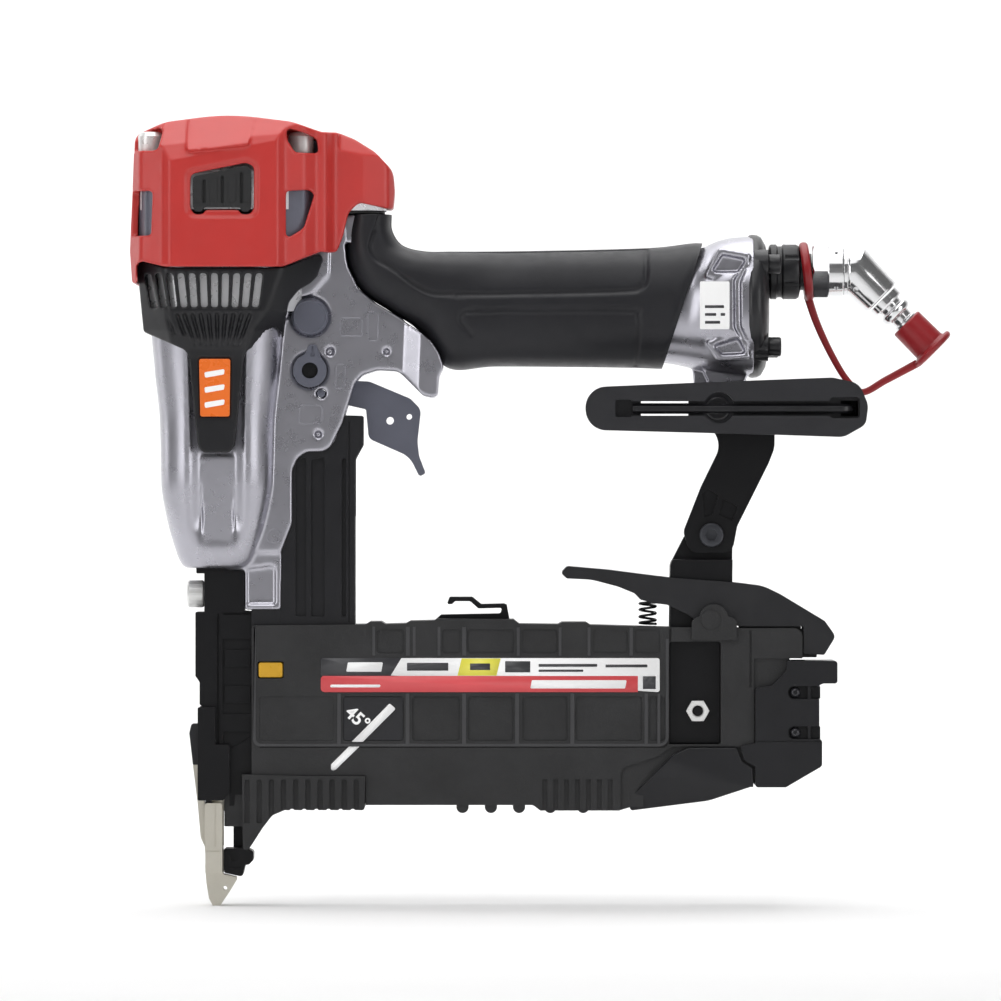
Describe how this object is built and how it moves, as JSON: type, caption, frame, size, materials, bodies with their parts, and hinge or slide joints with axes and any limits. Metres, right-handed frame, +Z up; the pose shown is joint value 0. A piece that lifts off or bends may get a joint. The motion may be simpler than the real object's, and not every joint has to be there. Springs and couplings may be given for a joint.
{
  "type": "pneumatic flooring nailer",
  "caption": "Compact air-driven flooring stapler with a red cover, rubber grip, swivel air plug, side hook and a magazine drawer released by a long lever.",
  "frame": {"origin": "the flat end of the contact foot, at the bottom of the nose", "axes": "+Z up along the driver, +X from the nose towards the air plug, -Y the side with the hook"},
  "size_m": [0.2946, 0.068, 0.2834],
  "materials": {
    "cast_grey": "satin metallic paint over a fine cast grain",
    "red_plastic": "satin moulded",
    "black_plastic": "fine moulded texture",
    "black_steel": "satin black oxide",
    "grey_steel": "satin dark grey",
    "black_rubber": "matte",
    "red_rubber": "satin",
    "chrome": "polished",
    "steel": "ground and hardened",
    "aluminium": "machined",
    "orange_enamel": "smooth enamel",
    "yellow_plastic": "satin"
  },
  "bodies": {
    "tool_body": {"body_casting": "cast_grey", "top_cover": "red_plastic", "front_grille": "black_plastic", "inlet_neck": "black_plastic", "link_cover": "black_plastic", "magazine_body": "black_plastic", "front_shoe": "black_plastic", "trigger_valve_body": "black_plastic", "end_cap": "black_steel", "end_cap_bolt_1": "black_steel", "end_cap_bolt_2": "black_steel", "end_cap_bolt_3": "black_steel", "end_cap_bolt_4": "black_steel", "nose_housing": "black_steel", "accessory_clip": "black_steel", "stay_upper": "black_steel", "stay_lower": "black_steel", "stay_bolt": "black_steel", "hook_bolt": "black_steel", "latch_pin": "black_steel", "latch_spring": "black_steel", "pivot_plug": "grey_steel", "cap_gasket": "black_rubber", "exhaust_louver": "black_rubber", "bumper": "black_rubber", "grip_sleeve": "black_rubber", "rear_guard": "black_rubber", "plug_nut": "chrome", "cap_bolt_1": "steel", "cap_bolt_2": "steel", "cap_bolt_3": "steel", "cap_bolt_4": "steel", "head_valve_spring": "steel", "trigger_pin": "steel", "driver_guide": "steel", "nose_bolt": "steel", "contact_spring": "steel", "magazine_bolt": "steel", "top_cap": "aluminium", "cylinder_sleeve": "aluminium", "badge_plate": "orange_enamel"},
    "piston": {"piston": "aluminium", "driver_blade": "steel"},
    "head_valve": {"head_valve": "black_rubber"},
    "trigger": {"trigger": "grey_steel"},
    "valve_stem": {"valve_stem": "steel"},
    "lock_dial": {"lock_dial": "grey_steel"},
    "contact_arm": {"contact_foot": "steel", "contact_link": "black_steel"},
    "latch": {"latch_lever": "black_steel"},
    "drawer": {"staple_rail": "steel", "drawer_cap": "black_plastic"},
    "pusher": {"pusher": "yellow_plastic"},
    "elbow": {"swivel_elbow": "chrome", "strap_ring": "red_rubber", "cap_strap": "red_rubber"},
    "plug": {"plug_nipple": "chrome"},
    "dust_cap": {"dust_cap": "red_rubber"},
    "hook": {"hook": "black_plastic"},
    "hex_wrench": {"hex_wrench": "black_steel"}
  },
  "joints": [
    {"name": "piston_drive", "type": "slide", "parent": "tool_body", "child": "piston", "axis": [0, 0, 1], "range_m": [-0.0845, 0]},
    {"name": "head_valve_lift", "type": "slide", "parent": "tool_body", "child": "head_valve", "axis": [0, 0, 1], "range_m": [0, 0.004], "stiffness_N_per_m": 1500, "springref_m": -0.003, "deforming": ["head_valve_spring"]},
    {"name": "trigger_pull", "type": "hinge", "parent": "tool_body", "child": "trigger", "pos_m": [0.0385, 0, 0.184], "axis": [0, -1, 0], "range_deg": [0, 7], "stiffness_Nm_per_rad": 0.6, "springref_deg": -8.59},
    {"name": "valve_stem_lift", "type": "slide", "parent": "tool_body", "child": "valve_stem", "axis": [0, 0, 1], "range_m": [0, 0.0015]},
    {"name": "lock_dial_turn", "type": "hinge", "parent": "tool_body", "child": "lock_dial", "pos_m": [0.0345, 0, 0.1922], "axis": [0, 1, 0], "range_deg": [-15, 150]},
    {"name": "contact_arm_press", "type": "slide", "parent": "tool_body", "child": "contact_arm", "axis": [0, 0, 1], "range_m": [0, 0.012], "stiffness_N_per_m": 500, "springref_m": -0.008, "deforming": ["contact_spring"]},
    {"name": "latch_press", "type": "hinge", "parent": "tool_body", "child": "latch", "pos_m": [0.1791, 0, 0.1031], "axis": [0, -1, 0], "range_deg": [0, 8], "stiffness_Nm_per_rad": 1.5, "springref_deg": -6.88, "deforming": ["latch_spring"]},
    {"name": "drawer_pull", "type": "slide", "parent": "tool_body", "child": "drawer", "axis": [1, 0, 0], "range_m": [0, 0.16]},
    {"name": "pusher_travel", "type": "slide", "parent": "drawer", "child": "pusher", "axis": [1, 0, 0], "range_m": [0, 0.13], "stiffness_N_per_m": 40, "springref_m": -0.06},
    {"name": "elbow_swivel", "type": "hinge", "parent": "tool_body", "child": "elbow", "pos_m": [0.2305, 0, 0.2279], "axis": [1, 0, 0], "continuous": true},
    {"name": "plug_spin", "type": "hinge", "parent": "elbow", "child": "plug", "pos_m": [0.24464, 0, 0.21376], "axis": [0.7071, 0, -0.7071], "continuous": true},
    {"name": "dust_cap_pull", "type": "slide", "parent": "elbow", "child": "dust_cap", "axis": [0.7071, 0, -0.7071], "range_m": [0, 0.012]},
    {"name": "hook_swing", "type": "hinge", "parent": "tool_body", "child": "hook", "pos_m": [0.1807, 0, 0.1786], "axis": [0, 1, 0], "range_deg": [0, 65]},
    {"name": "wrench_pull", "type": "slide", "parent": "hook", "child": "hex_wrench", "axis": [0, -1, 0], "range_m": [0, 0.02]}
  ],
  "couplings": [
    {"joint": "valve_stem_lift", "follows": "trigger_pull", "m_per_rad": 0.0115}
  ]
}
